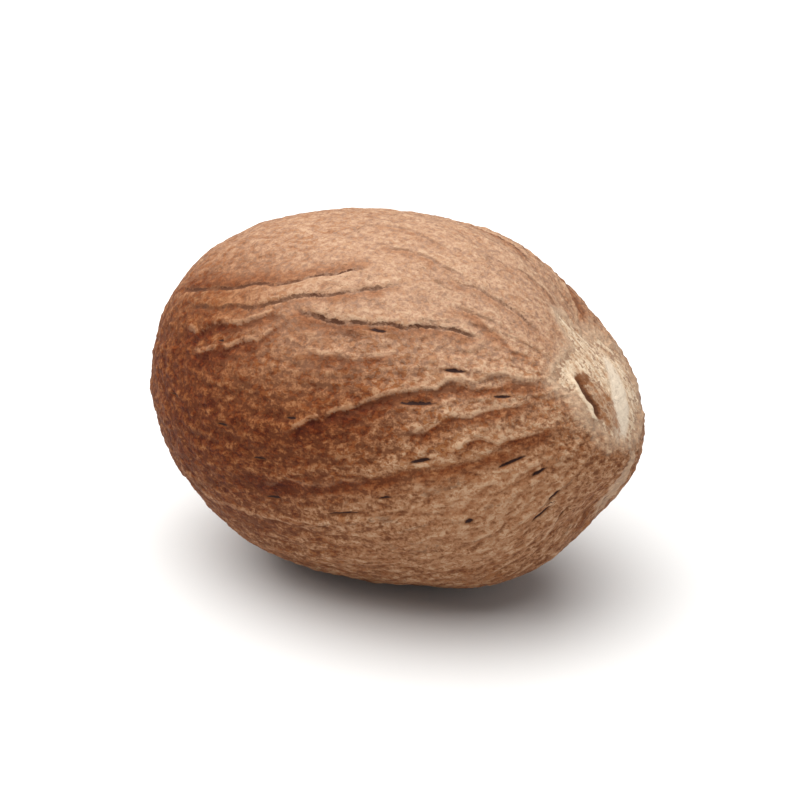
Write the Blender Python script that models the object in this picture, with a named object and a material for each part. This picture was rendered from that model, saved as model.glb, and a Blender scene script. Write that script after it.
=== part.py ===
"""Whole nutmeg: the dried kernel of the nutmeg seed, lying on its side.

Metres, +Z up. +X runs along the kernel towards its pointed end, which carries the pale scar.
The origin is under the middle of the kernel's box, on the surface that it rests on.
Sizes below are in millimetres and degrees. "Along" is a share of the half length, from -1 at the
blunt end to 1 at the scar, and "turn" goes round the kernel from its top towards -Y.
"""

import math

import bmesh
import bpy
from mathutils import Vector, noise

MM = 0.001

# The plain egg form
LENGTH = 28.0
GIRTH = 19.9
TAPER = 0.037  # share by which the pointed half is slimmer than the blunt half
POINT_POWER = 1.31  # over 1 draws the scar end out to a point
BLUNT_POWER = 0.944  # under 1 fills the other end out
UNEVENNESS = 0.25
REST_CUT = 0.22  # depth that the resting spot is worn flat
REST_CALM = 4.0  # the wrinkles die away within this distance of the resting spot

# Broad swells and hollows: along, turn, spread in degrees, height
SWELLS = (
    (0.56, 160, 24, 0.40),
    (0.88, 153, 18, -0.85),
    (0.02, 132, 24, -0.50),
    (0.84, -57, 18, 0.18),
    (0.69, -24, 12, -0.45),
    (-0.38, 142, 22, 0.35),
    (0.00, 180, 18, 0.35),
    (-0.55, -95, 26, 0.35),
    (0.25, -120, 24, -0.40),
    (-0.80, -160, 24, -0.30),
)

# The wrinkles run to a front pole, which sits a little above the pointed tip
POLE_LEAN = Vector((0.0, -0.137, 0.549))

# The scar is bare, paler kernel, in ovals that run into one another: middle and half size, up
# and towards -Y from the pole, in degrees
SCAR_OVALS = (
    (-2.0, -12.5, 19.0, 24.0),
    (10.0, 3.5, 7.0, 12.5),
    (19.0, -15.0, 11.0, 7.0),
)
SCAR_BLEND = 0.25  # how softly the ovals run into one another
SCAR_STEP = 0.12  # the skin stands this far above it
SCAR_RIM = (0.70, 1.30)  # where the step begins and ends, with the ovals' line at 1

# The short split along the scar's -Y side
CRACK_MIDDLE = (0.5, 6.3)
CRACK_HALF_LENGTH = 11.0
CRACK_HALF_WIDTH = 3.2
CRACK_DEPTH = 0.22
CRACK_LIP = 0.10

# Long folds: along from and to, turn at the start, middle and end, ridge height, step height
# A ridge below 0 is a groove. A step stands higher on the side of the smaller turn.
FOLDS = (
    (-0.88, 0.06, 35, 42, 21, -0.14, -0.10),
    (-0.80, 0.24, 48, 49, 24, -0.10, 0.14),
    (-0.30, 0.72, 48, 50, 37, -0.14, 0.08),
    (-0.78, -0.20, 58, 51, 47, 0.08, 0.26),
    (-0.70, -0.22, 66, 64, 50, 0.10, 0.28),
    (-0.16, 0.36, 58, 63, 54, 0.08, 0.12),
    (-0.16, 0.97, 91, 69, 57, 0.14, 0.34),
    (0.52, 0.96, 71, 68, 60, 0.07, 0.12),
    (0.36, 0.92, 92, 86, 74, 0.10, 0.18),
    (0.50, 0.96, 102, 97, 104, 0.10, 0.16),
    (-0.40, 0.82, 109, 103, 110, -0.05, 0.12),
    (-0.30, 0.42, 111, 109, 107, 0.04, 0.06),
    (0.55, 0.96, 24, 35, 44, 0.05, 0.10),
    (0.10, 0.70, 30, 38, 36, 0.04, -0.05),
    (-0.72, 0.10, 128, 124, 128, 0.05, 0.08),
    (0.30, 0.92, 122, 126, 118, 0.04, 0.05),
    (-0.20, 0.36, -7, -5, -7, -0.07, 0.06),
    (-0.08, 0.54, 6, 7, 8, -0.08, 0.06),
    (0.34, 0.94, 13, 10, 11, -0.08, 0.06),
    (0.42, 0.86, 31, 25, 28, -0.08, 0.07),
    (0.46, 0.92, -12, -34, -36, -0.08, 0.07),
    (-0.80, 0.60, -38, -48, -40, -0.14, 0.10),
    (-0.50, 0.88, -78, -68, -60, 0.12, -0.18),
    (-0.84, 0.25, -98, -108, -96, -0.14, -0.10),
    (-0.10, 0.92, -130, -120, -112, 0.12, -0.16),
)
FOLD_WANDER = 3.0  # degrees
FOLD_FADE = 0.14  # share of the half length over which a fold dies away
RIDGE_HALF_WIDTH = 0.50
STEP_HALF_WIDTH = 1.10
STEP_STEEPNESS = 1.1

# Wrinkles between the folds
WRINKLES_ROUND = 3.4  # pattern cells in one radian round the kernel
WRINKLES_ALONG = 1.5  # pattern cells in the half length
WRINKLE_BEND = 0.45
WRINKLE_SPREAD = 1.9  # distance over which the pattern's value changes by 1
WRINKLE_RIDGE = 0.06
WRINKLE_STEP = 0.10

# The starting block's cells, which follow the wrinkles from end to end
SIDE_CELLS = 28
LENGTH_CELLS = 30
END_ANGLE = 35.0  # how far the block's square ends reach round the kernel's ends

BROWN = (0.30, 0.15, 0.085, 1.0)
SKIN_ROUGHNESS = 0.7


def smooth(low, high, value):
    """0 below low, 1 above high, and an even blend between them."""
    share = min(max((value - low) / (high - low), 0.0), 1.0)
    return share * share * (3 - 2 * share)


def bump(distance, width):
    """A rounded hump of height 1."""
    return math.exp(-((distance / width) ** 2))


def toward(along, turn):
    """The direction from the kernel's middle at this share of its half length and turn."""
    out = math.sqrt(1 - along * along)
    angle = math.radians(turn)
    return Vector((along, -out * math.sin(angle), out * math.cos(angle)))


def leaned(grain):
    """The true direction of a grain direction: the grain's front pole leans upwards."""
    return (grain + POLE_LEAN * (1 + grain.x) / 2).normalized()


def egg(direction):
    """(point, outward normal) of the plain form in this direction."""
    out = math.hypot(direction.y, direction.z)
    power = BLUNT_POWER + (POINT_POWER - BLUNT_POWER) * (1 + direction.x) / 2
    radius = GIRTH / 2 * out**power * (1 - TAPER * direction.x)
    side = Vector((0, direction.y, direction.z)) / max(out, 1e-9)
    point = Vector((LENGTH / 2 * direction.x, 0, 0)) + radius * side
    normal = Vector((point.x / LENGTH**2, point.y / GIRTH**2, point.z / GIRTH**2))
    return point, normal.normalized()


def swell_height(direction):
    """The broad swells and hollows that keep the form from being an even egg."""
    height = UNEVENNESS * noise.noise(direction * 1.7 + Vector((3.1, 0.4, 7.7)))
    for along, turn, spread, peak in SWELLS:
        apart = math.degrees(direction.angle(toward(along, turn)))
        height += peak * bump(apart, spread)
    return height


def folded(distance, ridge, step):
    """The height at this distance past a fold: a ridge or groove, on a step down."""
    share = distance / STEP_HALF_WIDTH
    fall = STEP_STEEPNESS * step * share * bump(share, 1)
    return ridge * bump(distance, RIDGE_HALF_WIDTH) - fall


def wrinkle_height(along, turn):
    """Low wrinkles that run along the kernel, wander and join."""
    angle = math.radians(turn)
    place = Vector((math.cos(angle), math.sin(angle), 0)) * WRINKLES_ROUND
    place.z = WRINKLES_ALONG * along
    bend = noise.noise(place * 0.8 + Vector((5.0, 1.0, 2.0)))
    place += WRINKLE_BEND * bend * Vector((-math.sin(angle), math.cos(angle), 0))
    height = 0.0
    for shift in (0.0, 8.1):
        pattern = noise.noise(place + Vector((shift, shift, shift)))
        strength = 0.6 + 0.8 * noise.noise(place * 0.5 + Vector((2.0, 9.0, shift)))
        height += strength * folded(pattern * WRINKLE_SPREAD, WRINKLE_RIDGE, WRINKLE_STEP)
    return height


def fold_height(along, turn):
    """The long folds, each along a wandering line."""
    height = 0.0
    reach = GIRTH / 2 * math.sqrt(max(1 - along * along, 0))
    for number, (start, end, first, middle, last, ridge, step) in enumerate(FOLDS):
        if not start < along < end:
            continue
        share = (along - start) / (end - start)
        path = first * (1 - share) ** 2 + 2 * middle * share * (1 - share) + last * share**2
        path += FOLD_WANDER * noise.noise(Vector((along * 4, number * 5.3, 0.5)))
        distance = math.radians((turn - path + 180) % 360 - 180) * reach
        fade = smooth(start, start + FOLD_FADE, along) * (1 - smooth(end - FOLD_FADE, end, along))
        height += fade * folded(distance, ridge, step)
    return height


def skin_share(upwards, sideways):
    """0 on the bare scar, and 1 from just outside its rim."""
    nearness = 0.0
    for up, across, half_height, half_width in SCAR_OVALS:
        out = math.hypot((upwards - up) / half_height, (sideways - across) / half_width)
        nearness += math.exp(-out / SCAR_BLEND)
    return smooth(*SCAR_RIM, -SCAR_BLEND * math.log(nearness))


def crack_height(upwards, sideways):
    """The split, with a raised lip on its outer side."""
    past_end = abs(upwards - CRACK_MIDDLE[0]) / CRACK_HALF_LENGTH
    across = (sideways - CRACK_MIDDLE[1]) / CRACK_HALF_WIDTH
    ends = 1 - smooth(0.4, 1.0, past_end)
    return ends * (CRACK_LIP * bump(across - 1.6, 1) - CRACK_DEPTH * bump(across, 1))


def kernel_point(turn, from_pole):
    """The point of the wrinkled surface at this turn and angle from the front pole."""
    along = math.cos(math.radians(from_pole))
    direction = leaned(toward(along, turn))
    point, normal = egg(direction)
    upwards = from_pole * math.cos(math.radians(turn))
    sideways = from_pole * math.sin(math.radians(turn))
    skin = skin_share(upwards, sideways)
    near_ends = math.sin(math.radians(from_pole)) ** 0.5
    calm = smooth(REST_CALM / 2, REST_CALM, (point + Vector((0, 0, GIRTH / 2))).length)
    relief = skin * near_ends * (wrinkle_height(along, turn) + fold_height(along, turn))
    relief += crack_height(upwards, sideways) - SCAR_STEP * (1 - skin)
    return point + normal * (swell_height(direction) + calm * relief)


def block_angles(place):
    """(turn, angle from the front pole) of a block's point: its square rings become round."""
    ring = max(abs(place.y), abs(place.z))
    if place.x >= 1:
        from_pole = END_ANGLE * ring
    elif place.x <= -1:
        from_pole = 180 - END_ANGLE * ring
    else:
        from_pole = 90 - (90 - END_ANGLE) * place.x
    ring = max(ring, 1e-9)
    side = math.tan(math.pi / 4 * place.y / ring)
    height = math.tan(math.pi / 4 * place.z / ring)
    return math.degrees(math.atan2(-side, height)), from_pole


def worn_flat(points):
    """The points with the lowest part of the form cut off level, and stood over the origin."""
    floor = min(point.z for point in points) + REST_CUT
    for point in points:
        point.z = max(point.z, floor)
    middle = [(min(p[i] for p in points) + max(p[i] for p in points)) / 2 for i in (0, 1)]
    return [point - Vector((middle[0], middle[1], floor)) for point in points]


def divided_block():
    """A block with a grid on every side, finer round it than along it."""
    block = bmesh.new()
    bmesh.ops.create_cube(block, size=2)
    long_edges = [edge for edge in block.edges if edge.verts[0].co.x != edge.verts[1].co.x]
    bmesh.ops.subdivide_edges(block, edges=long_edges, cuts=LENGTH_CELLS - 1)
    ring_edges = [
        edge for edge in block.edges if abs(edge.verts[0].co.x - edge.verts[1].co.x) < 1e-6
    ]
    bmesh.ops.subdivide_edges(block, edges=ring_edges, cuts=SIDE_CELLS - 1, use_grid_fill=True)
    return block


def split_along_folds(block):
    """Halves every four-sided face along its straighter way, so that crests stay unbroken."""
    block.normal_update()
    for face in list(block.faces):
        one, two, three, four = face.verts
        first = abs((three.co - one.co).normalized().dot(one.normal - three.normal))
        second = abs((four.co - two.co).normalized().dot(two.normal - four.normal))
        if first < second:
            bmesh.utils.face_split(face, one, three)
        else:
            bmesh.utils.face_split(face, two, four)


def brown_skin():
    """The dull brown of the kernel's dried skin."""
    material = bpy.data.materials.new("nutmeg_skin")
    material.use_nodes = True
    shader = material.node_tree.nodes["Principled BSDF"]
    shader.inputs["Base Color"].default_value = BROWN
    shader.inputs["Roughness"].default_value = SKIN_ROUGHNESS
    shader.inputs["Metallic"].default_value = 0.0
    return material


def build_kernel(collection):
    """The block rounded out to the kernel's surface."""
    block = divided_block()
    points = worn_flat([kernel_point(*block_angles(vertex.co)) for vertex in block.verts])
    for vertex, point in zip(block.verts, points):
        vertex.co = point * MM
    split_along_folds(block)
    mesh = bpy.data.meshes.new("nutmeg")
    block.to_mesh(mesh)
    block.free()
    mesh.shade_smooth()
    mesh.materials.append(brown_skin())
    kernel = bpy.data.objects.new("nutmeg", mesh)
    collection.objects.link(kernel)
    return kernel


def main():
    for old in list(bpy.data.objects):
        bpy.data.objects.remove(old)
    collection = bpy.data.collections.new("whole_nutmeg")
    bpy.context.scene.collection.children.link(collection)
    build_kernel(collection)


main()
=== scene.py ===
"""Whole nutmeg: the finished kernel, with its fine wrinkles, slits, scar and skin.

The kernel's form repeats that of its CAD solid and adds the detail that the solid is too coarse
for. Sizes are in millimetres and degrees unless their names say otherwise. "Along" is a share of
the half length, from -1 at the blunt end to 1 at the scar, and "turn" goes round the kernel from
its top towards -Y.
"""

import math
import random

import bmesh
import bpy
import numpy
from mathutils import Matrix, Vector, kdtree, noise


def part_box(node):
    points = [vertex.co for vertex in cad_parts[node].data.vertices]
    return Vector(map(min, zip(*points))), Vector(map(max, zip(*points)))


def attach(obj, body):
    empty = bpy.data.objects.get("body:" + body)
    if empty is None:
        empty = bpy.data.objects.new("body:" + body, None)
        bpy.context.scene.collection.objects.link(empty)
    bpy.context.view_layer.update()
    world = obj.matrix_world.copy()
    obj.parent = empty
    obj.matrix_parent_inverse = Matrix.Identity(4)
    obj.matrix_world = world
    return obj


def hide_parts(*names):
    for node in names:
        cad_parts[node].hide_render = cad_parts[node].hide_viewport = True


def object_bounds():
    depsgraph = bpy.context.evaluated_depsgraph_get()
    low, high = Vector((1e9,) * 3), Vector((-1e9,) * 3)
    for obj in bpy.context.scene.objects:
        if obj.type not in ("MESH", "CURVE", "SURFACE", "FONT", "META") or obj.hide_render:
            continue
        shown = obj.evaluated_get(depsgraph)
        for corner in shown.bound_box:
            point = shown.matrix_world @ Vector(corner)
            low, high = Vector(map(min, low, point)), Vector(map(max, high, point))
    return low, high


bl_info = {
    "name": "Whole Nutmeg",
    "version": (1, 0, 0),
    "blender": (4, 5, 0),
    "location": "3D View > Sidebar > Nutmeg",
    "description": "Models a whole nutmeg kernel with its wrinkled skin and pale scar",
    "category": "Object",
}

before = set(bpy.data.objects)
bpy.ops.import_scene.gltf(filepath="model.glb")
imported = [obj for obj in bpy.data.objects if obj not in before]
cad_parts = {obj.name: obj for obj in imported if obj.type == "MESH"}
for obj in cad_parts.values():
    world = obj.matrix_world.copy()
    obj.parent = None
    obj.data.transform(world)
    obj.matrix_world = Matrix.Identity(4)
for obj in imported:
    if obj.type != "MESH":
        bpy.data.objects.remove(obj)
CAD_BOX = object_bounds()
NODE = "nutmeg"
MM = 0.001

BOX_LOW, BOX_HIGH = (Vector(corner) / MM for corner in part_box(NODE))
BOX_SIZE = BOX_HIGH - BOX_LOW
LENGTH = BOX_SIZE.x * 1.008  # of the plain egg form, which the scar's step shortens a little
GIRTH = BOX_SIZE.y * 0.997  # of the plain egg form, which the folds thicken a little

# The plain egg form
TAPER = 0.037
POINT_POWER = 1.31
BLUNT_POWER = 0.944
UNEVENNESS = 0.25
REST_CUT = 0.24
REST_CALM = 4.0

# Broad swells and hollows: along, turn, spread in degrees, height
SWELLS = (
    (0.56, 160, 24, 0.40),
    (0.88, 153, 18, -0.85),
    (0.02, 132, 24, -0.50),
    (0.84, -57, 18, 0.18),
    (0.69, -24, 12, -0.45),
    (-0.38, 142, 22, 0.35),
    (0.00, 180, 18, 0.35),
    (-0.55, -95, 26, 0.35),
    (0.25, -120, 24, -0.40),
    (-0.80, -160, 24, -0.30),
)

# The wrinkles run to a front pole, which sits a little above the pointed tip
POLE_LEAN = Vector((0.0, -0.137, 0.549))

# The scar is bare, paler kernel, in ovals that run into one another: middle and half size, up
# and towards -Y from the pole, in degrees
SCAR_OVALS = (
    (-2.0, -12.5, 19.0, 24.0),
    (10.0, 3.5, 7.0, 12.5),
    (19.0, -15.0, 11.0, 7.0),
)
SCAR_BLEND = 0.25
SCAR_STEP = 0.12

# The short split along the scar's -Y side
CRACK_MIDDLE = (0.5, 6.3)
CRACK_HALF_LENGTH = 11.0
CRACK_HALF_WIDTH = 1.6
CRACK_DEPTH = 0.18
CRACK_LIP = 0.16
CRACK_LIP_HALF_WIDTH = 1.4

# Long folds: along from and to, turn at the start, middle and end, ridge height, step height
# A ridge below 0 is a groove. A step stands higher on the side of the smaller turn.
FOLDS = (
    (-0.88, 0.06, 35, 42, 21, -0.14, -0.10),
    (-0.80, 0.24, 48, 49, 24, -0.10, 0.14),
    (-0.30, 0.72, 48, 50, 37, -0.14, 0.08),
    (-0.78, -0.20, 58, 51, 47, 0.08, 0.26),
    (-0.70, -0.22, 66, 64, 50, 0.10, 0.28),
    (-0.16, 0.36, 58, 63, 54, 0.08, 0.12),
    (-0.16, 0.97, 91, 69, 57, 0.14, 0.34),
    (0.52, 0.96, 71, 68, 60, 0.07, 0.12),
    (0.36, 0.92, 92, 86, 74, 0.10, 0.18),
    (0.50, 0.96, 102, 97, 104, 0.10, 0.16),
    (-0.40, 0.82, 109, 103, 110, -0.05, 0.12),
    (-0.30, 0.42, 111, 109, 107, 0.04, 0.06),
    (0.55, 0.96, 24, 35, 44, 0.05, 0.10),
    (0.10, 0.70, 30, 38, 36, 0.04, -0.05),
    (-0.72, 0.10, 128, 124, 128, 0.05, 0.08),
    (0.30, 0.92, 122, 126, 118, 0.04, 0.05),
    (-0.20, 0.36, -7, -5, -7, -0.07, 0.06),
    (-0.08, 0.54, 6, 7, 8, -0.08, 0.06),
    (0.34, 0.94, 13, 10, 11, -0.08, 0.06),
    (0.42, 0.86, 31, 25, 28, -0.08, 0.07),
    (0.46, 0.92, -12, -34, -36, -0.08, 0.07),
    (-0.80, 0.60, -38, -48, -40, -0.14, 0.10),
    (-0.50, 0.88, -78, -68, -60, 0.12, -0.18),
    (-0.84, 0.25, -98, -108, -96, -0.14, -0.10),
    (-0.10, 0.92, -130, -120, -112, 0.12, -0.16),
)
FOLD_WANDER = 3.0
FOLD_FADE = 0.14
FOLD_REACH = 2.6  # a fold has no effect further away than this
SCALLOP = 0.90  # how far a ridge swings in its small arcs
GROOVE_SCALLOP = 0.50
FULL_STEP = 0.16  # a step this high, or a groove this deep, gets in full its painted shade and staining below and its painted light above
FULL_RIDGE = 0.12  # a ridge this high, or a groove this deep, is coloured in full
RIDGE_SHARE = 0.15  # of a fold's ridge height, because the edge of its step already stands out
RIDGE_HALF_WIDTH = 0.22
GROOVE_HALF_WIDTH = 0.14
STEP_DROP = (-0.12, 0.26)  # where a step's fall begins and ends
STEP_ROUND = 0.35  # how far its edge is rounded
STEP_FADE = 0.85  # distance over which its rise and its hollow die away

# Wrinkles between the folds
WRINKLES_ROUND = 3.4
WRINKLES_ALONG = 1.5
WRINKLE_BEND = 0.45
WRINKLE_SPREAD = 1.9
WRINKLE_RIDGE = 0.04
WRINKLE_STEP = 0.16
FINE_WRINKLES = (7.0, 3.2)  # pattern cells round and along, of the finer set
FINE_WRINKLE_SPREAD = 0.9
FINE_WRINKLE_STEP = 0.09

# Broad browner places, and paler ones below 0: along, turn, spread in degrees, strength. The first,
# at the blunt end, is painted shade on partly browner skin, and the fourth is painted shade; the
# paler one by the scar is painted light on the lower side, which faces away from the lamp.
BROWNINGS_AND_SHADING = (
    (-0.75, 72, 34, 0.9),
    (-0.35, 114, 28, 0.6),
    (0.15, 86, 26, 0.8),
    (-0.55, 42, 18, 0.3),
    (0.62, 124, 28, -1.3),
    (0.20, 150, 30, -0.4),
    (-0.60, -60, 35, 0.6),
    (0.10, -100, 30, 0.4),
    (-0.20, 170, 30, 0.3),
)

# Slits that the mouths of the inner veins leave: along, turn, length, width
SLITS = (
    (0.45, 78, 1.8, 0.20),
    (0.19, 49, 1.0, 0.16),
    (0.59, 62, 1.1, 0.18),
    (0.78, 75, 0.9, 0.15),
    (-0.23, 101, 0.8, 0.14),
    (-0.17, 116, 0.9, 0.14),
    (0.12, 120, 1.6, 0.15),
    (0.29, 115, 0.7, 0.14),
    (0.45, 102, 1.1, 0.18),
    (0.74, 115, 1.5, 0.17),
    (0.78, 128, 0.9, 0.18),
    (0.74, 145, 0.8, 0.16),
    (0.67, 149, 1.3, 0.15),
    (0.68, 160, 0.9, 0.15),
    (0.52, 133, 0.45, 0.30),
    (0.02, 126, 0.7, 0.13),
    (-0.10, 85, 0.6, 0.14),
)
SCATTERED_SLITS = 75
SLIT_SEED = 11

# Heights over their surroundings that count as a full crest in the finish, which paints crests paler
# and hollows darker: wear, with painted highlight and painted shade
CREST = 0.08
FINE_CREST = 0.015

# The starting block's cells
SIDE_CELLS = 104
LENGTH_CELLS = 184
END_ANGLE = 35.0


class NutmegSizes(bpy.types.PropertyGroup):
    """Sizes of the kernel's finer relief."""

    wrinkle_depth: bpy.props.FloatProperty(
        name="Wrinkle depth",
        description="Share of the full height of the wrinkles between the long folds",
        default=1.0,
        min=0.0,
        max=2.0,
        subtype="FACTOR",
    )
    crease_depth: bpy.props.FloatProperty(
        name="Crease depth",
        description="Height of the small creases that branch off the wrinkles",
        default=0.045 * MM,
        min=0.0,
        unit="LENGTH",
    )
    network_depth: bpy.props.FloatProperty(
        name="Network depth",
        description="Height of the network of little crests that swirls over the skin",
        default=0.05 * MM,
        min=0.0,
        unit="LENGTH",
    )
    leather_depth: bpy.props.FloatProperty(
        name="Leather depth",
        description="Height of the leathery grain of the skin",
        default=0.05 * MM,
        min=0.0,
        unit="LENGTH",
    )
    slit_depth: bpy.props.FloatProperty(
        name="Slit depth",
        description="Depth of the slits",
        default=0.16 * MM,
        min=0.0,
        unit="LENGTH",
    )
    grain_bump: bpy.props.FloatProperty(
        name="Grain bump",
        description="Height of the finest grain, which is in the finish only",
        default=0.045 * MM,
        min=0.0,
        unit="LENGTH",
    )


def colour_property(name, description, default):
    """A colour that the panel shows."""
    return bpy.props.FloatVectorProperty(
        name=name, description=description, default=default, subtype="COLOR", min=0.0, max=1.0
    )


class NutmegColours(bpy.types.PropertyGroup):
    """Colours of the kernel and of the stage."""

    skin: colour_property("Skin", "Middle brown of the skin", (0.315, 0.150, 0.072))
    # Pale end of the skin's tone: wear and pale spots, and the painted highlights of crests, fold
    # edges and the top
    worn_and_highlit: colour_property("Worn skin", "Paler brown of the worn crests", (0.43, 0.268, 0.162))
    # Paler, greyer colour painted on the top: painted sheen and light from the lamp above, with some
    # dust
    top_dust_and_sheen: colour_property("Bleached", "Greyer skin of the top", (0.46, 0.335, 0.25))
    # Dark end of the skin's tone: dark spots, browning and staining, and the painted shade of
    # hollows and of the skin below the folds
    hollow_and_shade: colour_property("Hollows", "Deeper brown of the hollows", (0.145, 0.053, 0.021))
    # Pale colour of the fold edges, a painted highlight
    lip: colour_property("Lips", "Pale edges of the folds", (0.50, 0.32, 0.205))
    pit: colour_property("Pits", "Stain of the little pits", (0.62, 0.40, 0.24))
    rust: colour_property("Rust", "Orange brown by slits and in the scar", (0.16, 0.056, 0.019))
    crack: colour_property("Cracks", "Dark brown of the folds' grooves", (0.075, 0.028, 0.014))
    # Multiplies the skin below the folds as painted shade, and in the mottle as warm staining
    russet_and_shade: colour_property("Russet", "Warm stain below the folds", (0.68, 0.46, 0.31))
    # Multiplies the skin in the broad browning, partly painted shade
    browning_and_shading: colour_property("Browned", "Stain of the broad browner places", (0.60, 0.37, 0.20))
    split: colour_property("Beside the split", "Reddish brown in the scar", (0.23, 0.090, 0.032))
    slit: colour_property("Slits", "Dark brown inside slits and cracks", (0.032, 0.013, 0.010))
    scar: colour_property("Scar", "Pale cream of the bare scar", (0.63, 0.50, 0.36))
    scar_smooth: colour_property("Smooth scar", "Its smooth greyer strip", (0.62, 0.52, 0.41))
    scar_shade: colour_property("Scar shade", "Its duller fibres", (0.36, 0.21, 0.12))
    floor: colour_property("Floor", "Pale studio floor", (0.70, 0.70, 0.70))


def smooth(low, high, value):
    """0 below low, 1 above high, and an even blend between them."""
    share = min(max((value - low) / (high - low), 0.0), 1.0)
    return share * share * (3 - 2 * share)


def bump(distance, width):
    """A rounded hump of height 1."""
    return math.exp(-((distance / width) ** 2))


def toward(along, turn):
    """The direction from the kernel's middle at this share of its half length and turn."""
    out = math.sqrt(max(1 - along * along, 0))
    angle = math.radians(turn)
    return Vector((along, -out * math.sin(angle), out * math.cos(angle)))


def leaned(grain):
    """The true direction of a grain direction: the grain's front pole leans upwards."""
    return (grain + POLE_LEAN * (1 + grain.x) / 2).normalized()


def egg(direction):
    """(point, outward normal) of the plain form in this direction."""
    out = math.hypot(direction.y, direction.z)
    power = BLUNT_POWER + (POINT_POWER - BLUNT_POWER) * (1 + direction.x) / 2
    radius = GIRTH / 2 * out**power * (1 - TAPER * direction.x)
    side = Vector((0, direction.y, direction.z)) / max(out, 1e-9)
    point = Vector((LENGTH / 2 * direction.x, 0, 0)) + radius * side
    normal = Vector((point.x / LENGTH**2, point.y / GIRTH**2, point.z / GIRTH**2))
    return point, normal.normalized()


def swell_height(direction):
    """The broad swells and hollows that keep the form from being an even egg."""
    height = UNEVENNESS * noise.noise(direction * 1.7 + Vector((3.1, 0.4, 7.7)))
    for along, turn, spread, peak in SWELLS:
        apart = math.degrees(direction.angle(toward(along, turn)))
        height += peak * bump(apart, spread)
    return height


def barrel(along, turn, round_cells, along_cells, shift):
    """A place in the patterns: this many cells in a radian and in a half length."""
    angle = math.radians(turn)
    out = round_cells * math.sqrt(max(1 - along * along, 0))
    around = Vector((out * math.cos(angle), out * math.sin(angle), along * along_cells))
    return around + Vector((shift, shift / 2, shift / 3))


def folded(distance, ridge, step):
    """The height at this distance past a fold: a ridge or groove, on the edge of a step down."""
    side = distance if step > 0 else -distance
    fallen = smooth(*STEP_DROP, side)
    edge = abs(step) * math.exp(-math.hypot(distance, STEP_ROUND) / STEP_FADE) * (0.5 - fallen)
    if ridge > 0:
        return edge + RIDGE_SHARE * ridge * bump(distance, RIDGE_HALF_WIDTH)
    return edge + ridge * bump(distance, GROOVE_HALF_WIDTH)


def wrinkle_height(along, turn):
    """(height, distances) of the low wrinkles that run along the kernel, wander and join."""
    angle = math.radians(turn)
    place = Vector((math.cos(angle), math.sin(angle), 0)) * WRINKLES_ROUND
    place.z = WRINKLES_ALONG * along
    bend = noise.noise(place * 0.8 + Vector((5.0, 1.0, 2.0)))
    place += WRINKLE_BEND * bend * Vector((-math.sin(angle), math.cos(angle), 0))
    fray = 0.09 * noise.noise(place * 4.0)
    height = 0.0
    distances = []
    for shift, ridge in ((0.0, WRINKLE_RIDGE), (8.1, -WRINKLE_RIDGE)):
        pattern = noise.noise(place + Vector((shift, shift, shift))) + fray
        strength = 0.6 + 0.8 * noise.noise(place * 0.5 + Vector((2.0, 9.0, shift)))
        height += strength * folded(pattern * WRINKLE_SPREAD, ridge, WRINKLE_STEP)
        distances.append(pattern * WRINKLE_SPREAD)
    finer = barrel(along, turn, *FINE_WRINKLES, 3.3) + 0.5 * bend * Vector((1, 1, 1))
    distances.append((noise.noise(finer) + fray) * FINE_WRINKLE_SPREAD)
    height += folded(distances[2], 0.0, FINE_WRINKLE_STEP)
    return height, Vector(distances)


def browning_and_shading_share(along, turn):
    """How brown the skin is in the broad browner places, up to 1, some of them painted shade; below
    0 it is paler, by the scar as painted light.
    """
    direction = toward(along, turn)
    share = 0.0
    for at, at_turn, spread, strength in BROWNINGS_AND_SHADING:
        share += strength * bump(math.degrees(direction.angle(toward(at, at_turn))), spread)
    return min(share, 1.0)


def fold_height(along, turn):
    """(height, nearest fold, shading) of the long folds, each along a wandering line; the shading is
    painted shade and staining below a step, and painted light above it, in the finish.

    The nearest fold is told by the distance past it, its ridge share, which is below 0 for a
    groove, and how near it is, from 0 to 1.
    """
    height = 0.0
    nearest = Vector((FOLD_REACH, 0, 0))
    fold_shading_and_stain = 0.0
    reach = GIRTH / 2 * math.sqrt(max(1 - along * along, 0))
    for number, (start, end, first, middle, last, ridge, step) in enumerate(FOLDS):
        if not start < along < end:
            continue
        share = (along - start) / (end - start)
        path = first * (1 - share) ** 2 + 2 * middle * share * (1 - share) + last * share**2
        path += FOLD_WANDER * noise.noise(Vector((along * 4, number * 5.3, 0.5)))
        distance = math.radians((turn - path + 180) % 360 - 180) * reach
        if abs(distance) > FOLD_REACH:
            continue
        scallop = SCALLOP if ridge > 0 else GROOVE_SCALLOP
        distance -= scallop * (0.25 - abs(noise.noise(Vector((along * 8, number * 3.7, 8.5)))))
        distance += 0.06 * noise.noise(Vector((along * 30, number * 1.7, 4.5)))
        fade = smooth(start, start + FOLD_FADE, along) * (1 - smooth(end - FOLD_FADE, end, along))
        height += fade * folded(distance, ridge, step)
        near = 1 - abs(distance) / FOLD_REACH
        if near > nearest.z:
            nearest = Vector((distance, fade * min(max(ridge / FULL_RIDGE, -1), 1), near))
        # Painted shade, with staining, below the step, and painted light above it
        side = distance if step > 0 else -distance
        weight = fade * min(max(abs(step), -ridge) / FULL_STEP, 1)
        fold_shading_and_stain += weight * smooth(0.0, 0.3, side) * bump(side, 1.1)
        fold_shading_and_stain -= weight * smooth(0.0, 0.2, -side) * bump(side, 0.9)
    return height, nearest, fold_shading_and_stain


def network_value(along, turn):
    """A swirling pattern with crests where it is 0, round cells under a millimetre wide."""
    place = barrel(along, turn, 13.0, 14.0, 4.0)
    first = noise.noise(place * 0.45)
    second = noise.noise(place * 0.45 + Vector((7.0, 3.0, 5.0)))
    place += Vector((1.1 * first, 1.1 * second, 1.3 * (first - second)))
    return noise.noise(place)


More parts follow.
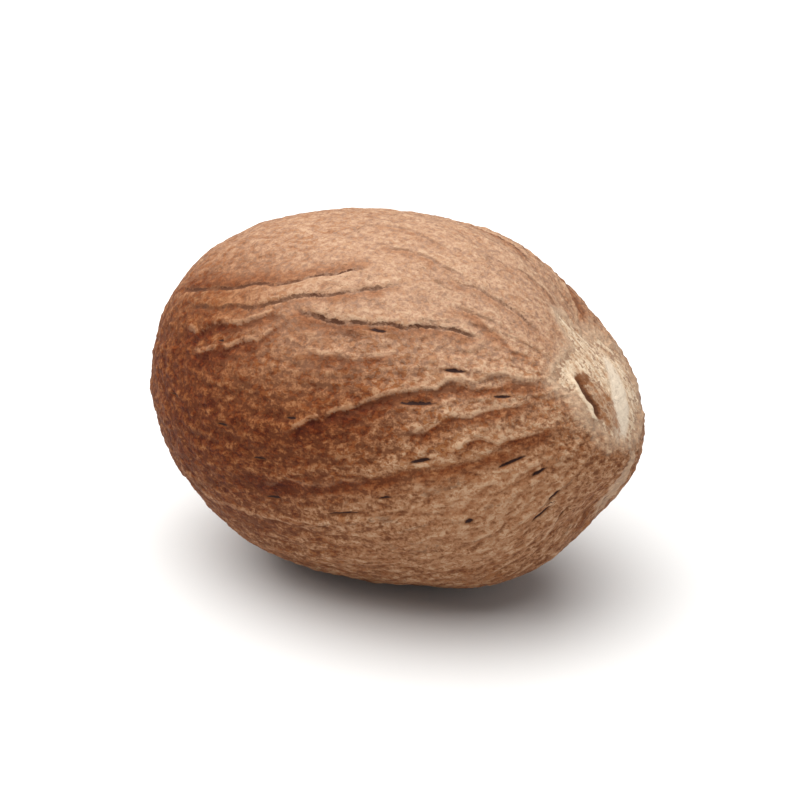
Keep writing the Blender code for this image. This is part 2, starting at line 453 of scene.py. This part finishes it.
def crease_height(along, turn):
    """Small creases that branch and join, longer than they are wide."""
    place = barrel(along, turn, 8.0, 4.6, 3.0)
    bend = noise.noise(place * 0.6)
    place += Vector((0.5 * bend, 0.5 * bend, 0.8 * bend))
    first = noise.noise(place)
    second = noise.noise(place * 1.7 + Vector((7.0, 3.0, 1.0)))
    return 0.7 * bump(first, 0.12) - 0.9 * bump(second, 0.10) + 0.8 * first


def leather_height(along, turn):
    """The leathery grain: little cushions with creases between."""
    large = noise.noise(barrel(along, turn, 20.0, 16.0, 2.0))
    small = noise.noise(barrel(along, turn, 37.0, 34.0, 6.0))
    return 2.2 * abs(large) + 1.1 * abs(small) - 0.6


def scar_rim(upwards, sideways):
    """How far out a place is from the scar's middle, where its rim is at 1."""
    nearness = 0.0
    for up, across, half_height, half_width in SCAR_OVALS:
        out = math.hypot((upwards - up) / half_height, (sideways - across) / half_width)
        nearness += math.exp(-out / SCAR_BLEND)
    return -SCAR_BLEND * math.log(nearness)


def crack_shape(upwards, sideways):
    """(cut, lip) of the split, each from 0 to 1."""
    past_end = abs(upwards - CRACK_MIDDLE[0]) / CRACK_HALF_LENGTH
    across = sideways - CRACK_MIDDLE[1] + 0.012 * (upwards - CRACK_MIDDLE[0]) ** 2
    across += 1.6 * noise.noise(Vector((upwards * 0.22, 4.0, 2.0)))
    ends = 1 - smooth(0.55, 1.0, past_end)
    lip = bump(across - CRACK_HALF_WIDTH - CRACK_LIP_HALF_WIDTH, CRACK_LIP_HALF_WIDTH)
    return ends * bump(across, CRACK_HALF_WIDTH), ends * lip


def block_angles(place):
    """(turn, angle from the front pole) of a block's point: its square rings become round."""
    ring = max(abs(place.y), abs(place.z))
    if place.x >= 1:
        from_scar = END_ANGLE * ring
    elif place.x <= -1:
        from_scar = 180 - END_ANGLE * ring
    else:
        from_scar = 90 - (90 - END_ANGLE) * place.x
    ring = max(ring, 1e-9)
    side = math.tan(math.pi / 4 * place.y / ring)
    height = math.tan(math.pi / 4 * place.z / ring)
    return math.degrees(math.atan2(-side, height)), from_scar


def divided_block():
    """A block with a grid on every side, finer round it than along it."""
    block = bmesh.new()
    bmesh.ops.create_cube(block, size=2)
    long_edges = [edge for edge in block.edges if edge.verts[0].co.x != edge.verts[1].co.x]
    bmesh.ops.subdivide_edges(block, edges=long_edges, cuts=LENGTH_CELLS - 1)
    ring_edges = [
        edge for edge in block.edges if abs(edge.verts[0].co.x - edge.verts[1].co.x) < 1e-6
    ]
    bmesh.ops.subdivide_edges(block, edges=ring_edges, cuts=SIDE_CELLS - 1, use_grid_fill=True)
    return block


# What the finish reads at each point: the scar's rim at 1, the nearest fold, the wrinkles, the
# painted shading and staining by a step, the broad browning and painted shading, the crack and its
# lip, the place along the grain and by the pole
MARKS = ("rim", "fold", "wrinkle", "fold_shading_and_stain", "browning_and_shading", "crack", "lip", "grain", "pole")
NO_SLIT = (9.0, 9.0, 0.0)
SLIT_REACH = 0.55  # a slit's own places are kept out to this distance


class Kernel:
    """The kernel's surface, worked out point by point."""

    def __init__(self, sizes):
        self.sizes = sizes
        self.block = divided_block()
        self.points = []
        self.normals = []
        self.heights = []
        self.marks = {name: [] for name in MARKS}

    def form(self):
        """The wrinkled form, without its slits."""
        for vertex in self.block.verts:
            turn, from_pole = block_angles(vertex.co)
            along = math.cos(math.radians(from_pole))
            direction = leaned(toward(along, turn))
            point, normal = egg(direction)
            self.points.append(point + normal * swell_height(direction))
            self.normals.append(normal)
            calm = smooth(REST_CALM / 2, REST_CALM, (point + Vector((0, 0, GIRTH / 2))).length)
            self.heights.append(calm * self.relief(along, turn, from_pole))

    def relief(self, along, turn, from_pole):
        """The height of everything finer than the swells, with its marks kept for the finish."""
        upwards = from_pole * math.cos(math.radians(turn))
        sideways = from_pole * math.sin(math.radians(turn))
        rim = scar_rim(upwards, sideways)
        skin = smooth(0.85, 1.15, rim)
        near_ends = math.sin(math.radians(from_pole)) ** 0.5
        wrinkles, wrinkle = wrinkle_height(along, turn)
        folds, fold, fold_shading_and_stain = fold_height(along, turn)
        network = network_value(along, turn)
        cut, lip = crack_shape(upwards, sideways)
        rough = (0.5 + 0.5 * skin) * (0.45 + 0.55 * smooth(15, 65, abs(turn)))
        height = skin * near_ends * (self.sizes.wrinkle_depth * wrinkles + folds)
        height += rough * self.sizes.crease_depth / MM * crease_height(along, turn)
        height -= rough * self.sizes.network_depth / MM * math.hypot(network, 0.08)
        height += rough * self.sizes.leather_depth / MM * leather_height(along, turn)
        height += CRACK_LIP * lip - CRACK_DEPTH * cut - SCAR_STEP * (1 - skin)
        grain = barrel(along, turn, GIRTH / 2, LENGTH / 2, 0.0)
        pole = Vector((upwards, sideways, 0))
        browning_and_shading = browning_and_shading_share(along, turn)
        marks = (rim, fold, wrinkle, fold_shading_and_stain, browning_and_shading, cut, lip, grain, pole)
        for name, value in zip(MARKS, marks):
            self.marks[name].append(value)
        return height

    def cut_slits(self):
        """The slits that lie along the grain, those listed and those scattered.

        Each point keeps its place in the nearest slit: the share of the half length, the share of
        the half width, and how near the slit is.
        """
        tree = kdtree.KDTree(len(self.points))
        for number, point in enumerate(self.points):
            tree.insert(point, number)
        tree.balance()
        places = [NO_SLIT] * len(self.points)
        depth = self.sizes.slit_depth / MM
        for along, turn, length, width in SLITS + scattered_slits():
            direction = leaned(toward(along, turn))
            middle, normal = egg(direction)
            middle += normal * swell_height(direction)
            ahead, _ = egg(leaned(toward(min(along + 0.02, 1.0), turn)))
            way = (ahead - egg(direction)[0]).normalized()
            across_way = normal.cross(way)
            for point, number, _ in tree.find_range(middle, length / 2 + SLIT_REACH):
                offset = point - middle
                down = offset.dot(way)
                across = offset.dot(across_way)
                beyond = max(abs(down) - length / 2, 0)
                near = 1 - math.hypot(beyond, across) / SLIT_REACH
                if near <= places[number][2]:
                    continue
                places[number] = (2 * down / length, 2 * across / width, near)
                taper = max(1 - (2 * down / length) ** 4, 0)
                self.heights[number] -= depth * taper * bump(across, max(width / 2, 0.11))
        self.marks["slit"] = places

    def finished_points(self):
        """The points with the lowest part of the form cut off level, set in the CAD box."""
        points = [p + n * h for p, n, h in zip(self.points, self.normals, self.heights)]
        floor = min(point.z for point in points) + REST_CUT
        for point in points:
            point.z = max(point.z, floor)
        low = [min(point[axis] for point in points) for axis in (0, 1)]
        high = [max(point[axis] for point in points) for axis in (0, 1)]
        box_middle = (BOX_LOW + BOX_HIGH) / 2
        shift = Vector(
            (box_middle.x - (low[0] + high[0]) / 2, box_middle.y - (low[1] + high[1]) / 2, 0)
        )
        shift.z = BOX_LOW.z - floor
        return [point + shift for point in points]


def scattered_slits():
    """Slits over the sides that have none listed."""
    chance = random.Random(SLIT_SEED)
    slits = []
    for _ in range(SCATTERED_SLITS):
        along = chance.uniform(-0.85, 0.85)
        turn = chance.uniform(-185, 150)
        length = 0.45 + 0.9 * chance.random() ** 2
        width = chance.uniform(0.09, 0.14)
        if -50 < turn < 60 or (60 <= turn and -0.35 < along):
            continue
        slits.append((along, turn, length, width))
    return tuple(slits)


def levelled(edges, values, rounds):
    """The values averaged with their neighbours' this many times over."""
    values = values.copy()
    count = numpy.bincount(edges.ravel(), minlength=len(values))
    for _ in range(rounds):
        total = numpy.bincount(edges[:, 0], values[edges[:, 1]], len(values))
        total += numpy.bincount(edges[:, 1], values[edges[:, 0]], len(values))
        values = 0.5 * values + 0.5 * total / count
    return values


def store(mesh, name, values):
    """Keeps a number or a vector for each point of the mesh, for the finish to read."""
    values = numpy.asarray(values, dtype=numpy.float32)
    kind, field = ("FLOAT", "value") if values.ndim == 1 else ("FLOAT_VECTOR", "vector")
    attribute = mesh.attributes.new(name, kind, "POINT")
    attribute.data.foreach_set(field, values.ravel())


class Signal:
    """A socket of a shader. Arithmetic on it adds Math nodes."""

    def __init__(self, tree, socket):
        self.tree = tree
        self.socket = socket

    def combined(self, operation, first, second):
        node = new_node(
            self.tree,
            "ShaderNodeMath",
            {"operation": operation},
            {"Value": first, "Value_001": second},
        )
        return Signal(self.tree, node.outputs[0])

    def __add__(self, other):
        return self.combined("ADD", self, other)

    __radd__ = __add__

    def __mul__(self, other):
        return self.combined("MULTIPLY", self, other)

    __rmul__ = __mul__

    def __sub__(self, other):
        return self.combined("SUBTRACT", self, other)

    def __rsub__(self, other):
        return self.combined("SUBTRACT", other, self)

    def __pow__(self, other):
        return self.combined("POWER", self, other)


def new_node(tree, kind, settings, inputs):
    """A node with its settings made first and then its sockets filled or linked."""
    node = tree.nodes.new(kind)
    for name, value in settings.items():
        setattr(node, name, value)
    for identifier, value in inputs.items():
        socket = next(entry for entry in node.inputs if entry.identifier == identifier)
        if isinstance(value, Signal):
            tree.links.new(value.socket, socket)
        else:
            socket.default_value = value
    return node


def stored(tree, name, output):
    """The value kept under this name at each point of the mesh."""
    node = new_node(tree, "ShaderNodeAttribute", {"attribute_name": name}, {})
    return Signal(tree, node.outputs[output])


def between(value, low, high):
    """0 below low, 1 above high, and an even blend between them."""
    node = new_node(
        value.tree,
        "ShaderNodeMapRange",
        {"interpolation_type": "SMOOTHSTEP"},
        {"Value": value, "From Min": low, "From Max": high},
    )
    return Signal(value.tree, node.outputs[0])


def speckle(tree, place, scale, detail, roughness=0.5, distortion=0.0):
    """Even noise from 0 to 1 about 0.5, with this many cells in a millimetre of the place."""
    inputs = {"Vector": place, "Scale": scale, "Detail": detail, "Roughness": roughness}
    inputs["Distortion"] = distortion
    node = new_node(tree, "ShaderNodeTexNoise", {"noise_dimensions": "3D"}, inputs)
    return Signal(tree, node.outputs[0])


def stretched(place, factors):
    """A place with each of its directions scaled."""
    node = new_node(
        place.tree,
        "ShaderNodeVectorMath",
        {"operation": "MULTIPLY"},
        {"Vector": place, "Vector_001": factors},
    )
    return Signal(place.tree, node.outputs[0])


def blended(factor, first, second, kind="MIX"):
    """The first colour where the factor is 0 and the second, or their product, where it is 1."""
    node = new_node(
        factor.tree,
        "ShaderNodeMix",
        {"data_type": "RGBA", "blend_type": kind},
        {"Factor_Float": factor, "A_Color": first, "B_Color": second},
    )
    output = next(entry for entry in node.outputs if entry.identifier == "Result_Color")
    return Signal(factor.tree, output)


def opaque(colour):
    return (colour[0], colour[1], colour[2], 1.0)


def part_of(place, output):
    """One side of a vector, from its output named X, Y or Z."""
    node = new_node(place.tree, "ShaderNodeSeparateXYZ", {}, {"Vector": place})
    return Signal(place.tree, node.outputs[output])


def oval(pole, middle, half_size, tilt, fray):
    """1 inside an oval by the front pole and 0 outside it, with a frayed edge."""
    up = part_of(pole, "X") - middle[0]
    across = part_of(pole, "Y") - middle[1]
    cosine = math.cos(math.radians(tilt))
    sine = math.sin(math.radians(tilt))
    length = (up * cosine + across * sine) * (1 / half_size[0])
    width = (across * cosine - up * sine) * (1 / half_size[1])
    return 1 - between(length * length + width * width + fray, 0.5, 1.2)


def line(distance, half_width):
    """1 along the line where the distance is 0, and 0 further than the half width from it."""
    return 1 - between(distance * distance, 0.25 * half_width**2, half_width**2)


def slit_shade(slit, fray):
    """How far out a place is from the nearest slit's middle, where its edge is at 1."""
    down = part_of(slit, "X")
    across = part_of(slit, "Y") + fray * 1.6
    return down * down + across * across + fray * 1.4


def pitting(tree, grain, place):
    """1 in the little pits of the skin and 0 on the low cushions between them."""
    cells = speckle(tree, stretched(grain, (1.0, 1.0, 0.7)), 2.4, 3.0, 0.55, 0.3) - 0.5
    finer = speckle(tree, place, 5.0, 3.0, 0.6) - 0.5
    return between(cells + finer * 0.9, -0.03, 0.13)


def skin_colour(tree, colours, grain, place, pitted):
    """Brown skin, paler on its crests from wear and painted highlight, with painted highlights along
    its fold edges, painted light and sheen on its top, staining in its pits, and painted shade with
    staining below its folds.
    """
    fold = stored(tree, "fold", "Vector")
    wrinkle = stored(tree, "wrinkle", "Vector")
    # Painted shade with staining below each fold's step, and painted light above it
    fold_shading_and_stain = stored(tree, "fold_shading_and_stain", "Fac")
    # Crests painted paler and hollows darker: wear, with painted highlight and painted shade
    crest = stored(tree, "crest", "Fac")
    fine_crest = stored(tree, "fine_crest", "Fac")
    patches = speckle(tree, place, 0.17, 2.0) - 0.5
    mottle = speckle(tree, stretched(grain, (1.0, 1.0, 0.7)), 0.9, 3.0, 0.6) - 0.5
    blots = speckle(tree, stretched(grain, (1.0, 1.0, 0.7)), 3.0, 3.0, 0.65, 0.5) - 0.5
    streaks = speckle(tree, stretched(grain, (1.0, 1.0, 0.16)), 1.6, 3.0, 0.6) - 0.5
    flecks = speckle(tree, place, 5.0, 3.0, 0.65) - 0.5
    # The top, painted paler and greyer further down: painted light and sheen from the lamp above,
    # with some dust
    top = between(part_of(place, "Z"), 1.5, 9.0)
    # Broad browning, partly painted shade, and painted light where it is below 0
    browning_and_shading = stored(tree, "browning_and_shading", "Fac")

    # Painted highlights along the edges of the folds and of the wrinkles
    near = between(part_of(fold, "Z"), 0.80, 0.90)
    wobble = flecks * 0.4 + blots * 0.3
    ridge = part_of(fold, "Y")
    lip_highlights = line(part_of(fold, "X") + wobble + 0.05, 0.22) * near * between(ridge, 0.1, 0.6)
    lip_highlights = lip_highlights * between(mottle + blots * 0.9, -0.22, 0.12)
    thread_highlights = line(part_of(wrinkle, "X") + wobble, 0.16) * between(mottle, -0.05, 0.15)
    fine_lip_highlights = line(part_of(wrinkle, "Z") + wobble * 0.6, 0.14) * between(blots, -0.1, 0.1)

    speckles = blots * 2.6 + flecks * 3.8 + fine_crest * 0.12
    tone = crest * 0.24 + fine_lip_highlights * 0.2 + thread_highlights * 0.25 + lip_highlights * 0.25
    tone = tone + speckles * (2.1 - top * 0.2 + browning_and_shading * 0.4) + mottle * 0.8 - fold_shading_and_stain * 0.5
    tone = tone + streaks * (0.3 + top * 0.6) + patches * 0.6 + top * 0.34 - browning_and_shading * 0.5 - 0.36
    skin = blended(between(tone, -1.5, 0.2), opaque(colours.hollow_and_shade), opaque(colours.skin))
    skin = blended(between(tone, -0.2, 1.2), skin, opaque(colours.worn_and_highlit))
    # Painted sheen on the top, with some dust
    skin = blended(top * 0.35, skin, opaque(colours.top_dust_and_sheen))
    # Russet driven by the painted shade below the folds as well as by the mottle
    warm_and_shade = between(fold_shading_and_stain * 1.2 + mottle * 0.8 + blots * 1.2, 0.05, 1.0)
    skin = blended(warm_and_shade * (1 - top * 0.3), skin, opaque(colours.russet_and_shade), "MULTIPLY")
    skin = blended(browning_and_shading, skin, opaque(colours.browning_and_shading), "MULTIPLY")
    # Painted highlight on the fold edges
    skin = blended(lip_highlights * 0.25, skin, opaque(colours.lip))
    pits = pitted * (0.95 - top * 0.5 + browning_and_shading * 0.3 + patches * 1.2) * (1 - lip_highlights * 0.7)
    skin = blended(pits, skin, opaque(colours.pit), "MULTIPLY")
    cracks = line(part_of(fold, "X") + wobble * 0.8, 0.17) * near
    cracks = cracks * between(ridge * -1.0, 0.3, 1.0) * between(mottle + blots * 1.1, -0.20, 0.10)
    furrows = line(part_of(wrinkle, "Y") + wobble, 0.13) * between(mottle + blots, 0.02, 0.20)
    return blended(cracks * 0.9 + furrows * 0.5, skin, opaque(colours.crack))


def scar_colour(tree, colours, pole, place, rim):
    """Fibrous cream, smooth and greyer in a strip beside the split, with brown specks."""
    fibres = speckle(tree, stretched(pole, (0.25, 0.8, 0.0)), 0.5, 4.0, 0.65) - 0.5
    specks = speckle(tree, place, 3.0, 3.0, 0.6) - 0.5
    tone = between(fibres + specks * 0.8, -0.22, 0.16)
    scar = blended(tone, opaque(colours.scar_shade), opaque(colours.scar))
    fray = fibres * 2.0 + specks
    smooth_strip = oval(pole, (-7.0, -11.5), (19.0, 6.0), 128, fray * 0.8)
    scar = blended(smooth_strip * 0.85, scar, opaque(colours.scar_smooth))
    beside_split = oval(pole, (-3.5, 1.0), (13.0, 6.0), 0, fray)
    scar = blended(beside_split * (0.85 - tone * 0.35), scar, opaque(colours.split))
    mouth = oval(pole, (7.5, 3.5), (2.5, 5.0), 0, fray * 0.7)
    scar = blended(mouth * 0.85, scar, opaque(colours.rust))
    edge = between(rim, 0.55, 0.95)
    brown_specks = between(specks + edge * 0.10, 0.05, 0.15) * (1 - smooth_strip) * 0.7
    return blended(brown_specks, scar, opaque(colours.rust))


def kernel_finish(colours, sizes):
    """Dry brown skin with dark slits, and the bare scar."""
    material = bpy.data.materials.new("nutmeg_skin_finish")
    material.use_nodes = True
    tree = material.node_tree
    shader = tree.nodes["Principled BSDF"]

    place = stored(tree, "place", "Vector")
    grain = stored(tree, "grain", "Vector")
    pole = stored(tree, "pole", "Vector")
    ragged = speckle(tree, place, 1.1, 4.0, 0.6) - 0.5
    flecks = speckle(tree, place, 4.0, 3.0, 0.6) - 0.5

    rim = stored(tree, "rim", "Fac") + ragged * 0.9
    bare = 1 - between(rim, 0.88, 1.04)
    pitted = pitting(tree, grain, place)
    skin = skin_colour(tree, colours, grain, place, pitted)
    scar = scar_colour(tree, colours, pole, place, rim)
    # A painted highlight on paler skin along the lower edge of the pointed tip
    tip_highlight_streak = oval(pole, (-38.0, -6.0), (16.0, 5.0), 8, ragged * 2.5) * 0.35
    pale_ring = (1 - between(rim, 1.0, 1.5)) * 0.35
    colour = blended(tip_highlight_streak + pale_ring, skin, opaque(colours.scar))
    colour = blended(bare, colour, scar)
    lip = stored(tree, "lip", "Fac")
    lip = between(lip + ragged * 1.4 + flecks * 1.4, 0.30, 0.85) * between(lip, 0.05, 0.30)
    colour = blended(lip * 0.9, colour, opaque(colours.scar))
    crack = stored(tree, "crack", "Fac")
    crack = crack + (flecks + ragged * 0.8) * between(crack, 0.02, 0.20)
    colour = blended(between(crack, 0.15, 0.45) * 0.9, colour, opaque(colours.rust))
    colour = blended(between(crack, 0.45, 0.90) * 0.8, colour, opaque(colours.crack))
    slit = stored(tree, "slit", "Vector")
    near_slit = between(part_of(slit, "Z"), 0.25, 0.45)
    out = slit_shade(slit, flecks)
    colour = blended(near_slit * (0.6 - between(out, 0.8, 3.5) * 0.6), colour, opaque(colours.rust))
    colour = blended(near_slit * (1 - between(out, 0.5, 1.35)), colour, opaque(colours.slit))
    tree.links.new(colour.socket, shader.inputs["Base Color"])

    roughness = 0.74 + ragged * 0.2 - bare * 0.10
    tree.links.new(roughness.socket, shader.inputs["Roughness"])
    shader.inputs["Specular IOR Level"].default_value = 0.12

    grit = speckle(tree, place, 7.0, 2.0, 0.6)
    pores = speckle(tree, stretched(grain, (1.0, 1.0, 0.6)), 3.2, 3.0, 0.6)
    relief = new_node(
        tree,
        "ShaderNodeBump",
        {},
        {"Strength": 1.0, "Distance": sizes.grain_bump, "Height": pores + grit * 0.5 - pitted * 0.4},
    )
    tree.links.new(relief.outputs[0], shader.inputs["Normal"])
    return material


class NUTMEG_OT_kernel(bpy.types.Operator):
    """Models the kernel and gives it its skin"""

    bl_idname = "nutmeg.kernel"
    bl_label = "Kernel"

    def execute(self, context):
        sizes = context.scene.nutmeg_sizes
        kernel = Kernel(sizes)
        kernel.form()
        kernel.cut_slits()
        for vertex, point in zip(kernel.block.verts, kernel.finished_points()):
            vertex.co = point * MM
        mesh = bpy.data.meshes.new("nutmeg_kernel")
        kernel.block.to_mesh(mesh)
        kernel.block.free()
        mesh.shade_smooth()

        edges = numpy.empty(2 * len(mesh.edges), dtype=numpy.int64)
        mesh.edges.foreach_get("vertices", edges)
        edges = edges.reshape(-1, 2)
        heights = numpy.array(kernel.heights)
        # Height over near and wide surroundings, which the finish paints as paler crests and darker
        # hollows: wear, with painted highlight and painted shade
        near = levelled(edges, heights, 5)
        wide = levelled(edges, near, 120)
        store(mesh, "fine_crest", (heights - near) / FINE_CREST)
        store(mesh, "crest", (near - wide) / CREST)
        for name, values in kernel.marks.items():
            store(mesh, name, values)
        store(mesh, "place", kernel.points)

        mesh.materials.append(kernel_finish(context.scene.nutmeg_colours, sizes))
        piece = bpy.data.objects.new("nutmeg_kernel", mesh)
        context.scene.collection.objects.link(piece)
        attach(piece, "root")
        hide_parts(NODE)
        return {"FINISHED"}


def floor_finish(colour):
    """Plain matt paper."""
    material = bpy.data.materials.new("studio_paper")
    material.use_nodes = True
    shader = material.node_tree.nodes["Principled BSDF"]
    shader.inputs["Base Color"].default_value = opaque(colour)
    shader.inputs["Roughness"].default_value = 0.9
    shader.inputs["Specular IOR Level"].default_value = 0.1
    return material


def area_light(name, place, target, size, power, colour):
    """A soft square light that shines at the target."""
    lamp = bpy.data.lights.new(name, "AREA")
    lamp.size = size
    lamp.energy = power
    lamp.color = colour
    light = bpy.data.objects.new(name, lamp)
    light.location = place
    light.rotation_euler = (target - place).to_track_quat("-Z", "Y").to_euler()
    bpy.context.scene.collection.objects.link(light)
    return light


class NUTMEG_OT_stage(bpy.types.Operator):
    """Sets the floor, the lights and the camera"""

    bl_idname = "nutmeg.stage"
    bl_label = "Stage"

    def execute(self, context):
        low, high = (Vector(corner) for corner in CAD_BOX)
        middle = (low + high) / 2

        paper = bmesh.new()
        bmesh.ops.create_grid(paper, x_segments=8, y_segments=8, size=6.0)
        mesh = bpy.data.meshes.new("studio_floor")
        paper.to_mesh(mesh)
        paper.free()
        mesh.materials.append(floor_finish(context.scene.nutmeg_colours.floor))
        floor = bpy.data.objects.new("studio_floor", mesh)
        floor.location.z = low.z
        context.scene.collection.objects.link(floor)

        world = bpy.data.worlds.new("studio_light")
        world.use_nodes = True
        background = world.node_tree.nodes["Background"]
        background.inputs["Color"].default_value = (1.0, 1.0, 1.0, 1.0)
        background.inputs["Strength"].default_value = 0.35
        context.scene.world = world
        area_light(
            "top_light", middle + Vector((-0.07, -0.03, 0.42)), middle, 0.7, 6.0, (1.0, 0.99, 0.97)
        )

        camera_data = bpy.data.cameras.new("camera")
        camera_data.lens = 220
        camera_data.sensor_width = 36
        camera_data.clip_start = 0.01
        camera = bpy.data.objects.new("camera", camera_data)
        azimuth = math.radians(28)
        elevation = math.radians(28)
        back = Vector(
            (
                math.sin(azimuth) * math.cos(elevation),
                -math.cos(azimuth) * math.cos(elevation),
                math.sin(elevation),
            )
        )
        camera.location = middle + back * 0.26
        camera.rotation_euler = back.to_track_quat("Z", "Y").to_euler()
        context.scene.collection.objects.link(camera)
        context.scene.camera = camera
        context.scene.view_settings.view_transform = "Standard"
        return {"FINISHED"}


class NUTMEG_PT_panel(bpy.types.Panel):
    """Sizes, colours and steps of the nutmeg"""

    bl_label = "Whole Nutmeg"
    bl_idname = "NUTMEG_PT_panel"
    bl_space_type = "VIEW_3D"
    bl_region_type = "UI"
    bl_category = "Nutmeg"

    def draw(self, context):
        for settings in (context.scene.nutmeg_sizes, context.scene.nutmeg_colours):
            box = self.layout.box()
            for name in settings.__annotations__:
                box.prop(settings, name)
        for operator in OPERATORS:
            self.layout.operator(operator.bl_idname)


OPERATORS = (NUTMEG_OT_kernel, NUTMEG_OT_stage)
CLASSES = (NutmegSizes, NutmegColours, *OPERATORS, NUTMEG_PT_panel)


def register():
    for entry in CLASSES:
        bpy.utils.register_class(entry)
    bpy.types.Scene.nutmeg_sizes = bpy.props.PointerProperty(type=NutmegSizes)
    bpy.types.Scene.nutmeg_colours = bpy.props.PointerProperty(type=NutmegColours)


def unregister():
    del bpy.types.Scene.nutmeg_colours
    del bpy.types.Scene.nutmeg_sizes
    for entry in reversed(CLASSES):
        bpy.utils.unregister_class(entry)


def main():
    register()
    bpy.ops.nutmeg.kernel()
    bpy.ops.nutmeg.stage()


if __name__ == "__main__":
    main()
